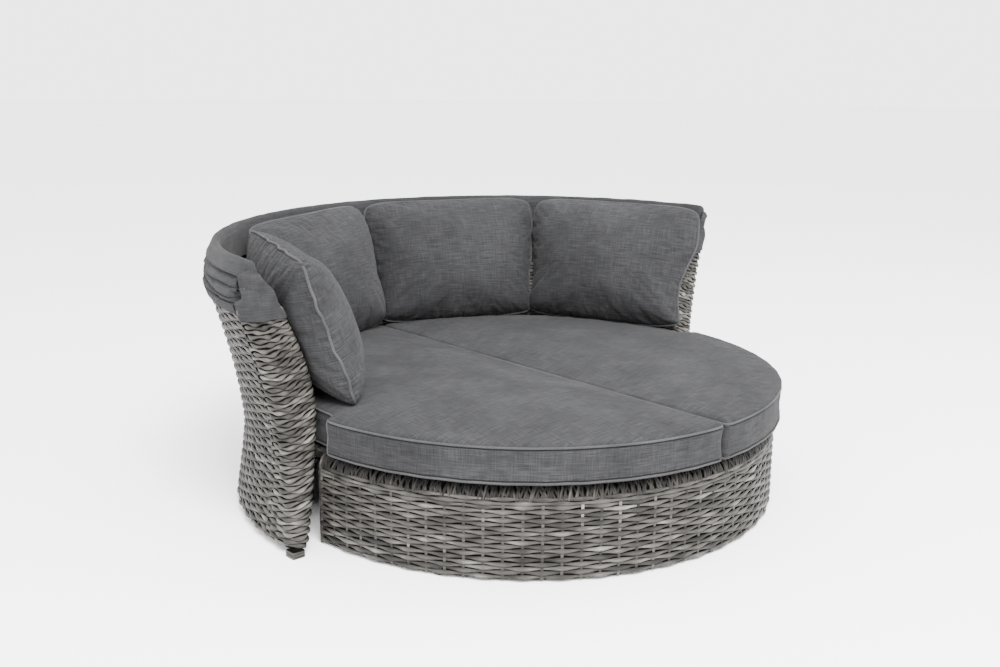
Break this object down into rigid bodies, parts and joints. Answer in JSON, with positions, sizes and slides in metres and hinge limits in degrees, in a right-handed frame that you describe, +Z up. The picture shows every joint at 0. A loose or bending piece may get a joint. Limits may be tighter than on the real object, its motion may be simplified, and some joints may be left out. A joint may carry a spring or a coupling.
{
  "type": "daybed",
  "caption": "Round woven outdoor daybed with a half-circle back shell, split round mattress, loose back pillows and a folding hoop canopy.",
  "frame": {"origin": "on the floor under the middle of the centre foot, at the centre of the round mattress's front half", "axes": "+Z up, the open front of the seat faces -Y, +X to the right of someone who faces the seat's back from the front"},
  "size_m": [1.932, 1.77, 0.8122],
  "materials": {
    "weave": "variegated grey-brown flat synthetic strands, plain weave",
    "cushion": "dark grey heathered outdoor cloth with self piping",
    "canopy": "grey outdoor canopy cloth",
    "frame": "powder coated steel tube",
    "hoop": "coated aluminium tube",
    "fastener": "zinc plated bolt",
    "glide": "black moulded foot"
  },
  "bodies": {
    "root": {"shell_outer_skin": "weave", "shell_inner_skin": "weave", "shell_end_left": "weave", "shell_end_right": "weave", "shell_rim": "weave", "woven_deck": "weave", "apron_skin": "weave", "apron_end_left": "weave", "apron_end_right": "weave", "seat_ring_rear": "weave", "mattress_left": "cushion", "mattress_right": "cushion", "pillow_1": "cushion", "pillow_2": "cushion", "pillow_3": "cushion", "pillow_4": "cushion", "canopy_panel_rear": "canopy", "canopy_panel_mid": "canopy", "canopy_panel_front": "canopy", "corner_cap_left": "canopy", "corner_cap_right": "canopy", "shell_base_ring": "frame", "shell_rib_1": "frame", "shell_rib_2": "frame", "shell_rib_3": "frame", "shell_rib_4": "frame", "shell_rib_5": "frame", "seat_ring_front": "frame", "seat_slat_1": "frame", "seat_slat_2": "frame", "seat_slat_3": "frame", "seat_slat_4": "frame", "seat_slat_5": "frame", "seat_beam": "frame", "front_leg": "frame", "centre_leg": "frame", "rear_leg": "frame", "apron_rail": "frame", "apron_post_1": "frame", "apron_post_2": "frame", "apron_post_3": "frame", "pivot_bracket_left": "frame", "pivot_bracket_right": "frame", "pivot_bolt_left": "fastener", "pivot_bolt_right": "fastener", "shell_foot_1": "glide", "shell_foot_2": "glide", "shell_foot_3": "glide", "shell_foot_4": "glide", "shell_foot_5": "glide", "front_leg_foot": "glide", "centre_leg_foot": "glide", "rear_leg_foot": "glide", "apron_glide_1": "glide", "apron_glide_2": "glide", "apron_glide_3": "glide"},
    "hoop_rear": {"hoop_rear": "hoop"},
    "hoop_mid": {"hoop_mid": "hoop"},
    "hoop_front": {"hoop_front": "hoop", "canopy_sleeve": "canopy"}
  },
  "joints": [
    {"name": "canopy_rear", "type": "hinge", "parent": "root", "child": "hoop_rear", "pos_m": [0, 0.068, 0.742], "axis": [1, 0, 0], "range_deg": [0, 32], "deforming": ["canopy_panel_rear"]},
    {"name": "canopy_mid", "type": "hinge", "parent": "hoop_rear", "child": "hoop_mid", "pos_m": [0, 0.068, 0.742], "axis": [1, 0, 0], "range_deg": [0, 32], "deforming": ["canopy_panel_mid"]},
    {"name": "canopy_front", "type": "hinge", "parent": "hoop_mid", "child": "hoop_front", "pos_m": [0, 0.068, 0.742], "axis": [1, 0, 0], "range_deg": [0, 32], "deforming": ["canopy_panel_front"]}
  ],
  "couplings": [
    {"joint": "canopy_mid", "follows": "canopy_rear", "ratio": 1},
    {"joint": "canopy_front", "follows": "canopy_rear", "ratio": 1}
  ]
}
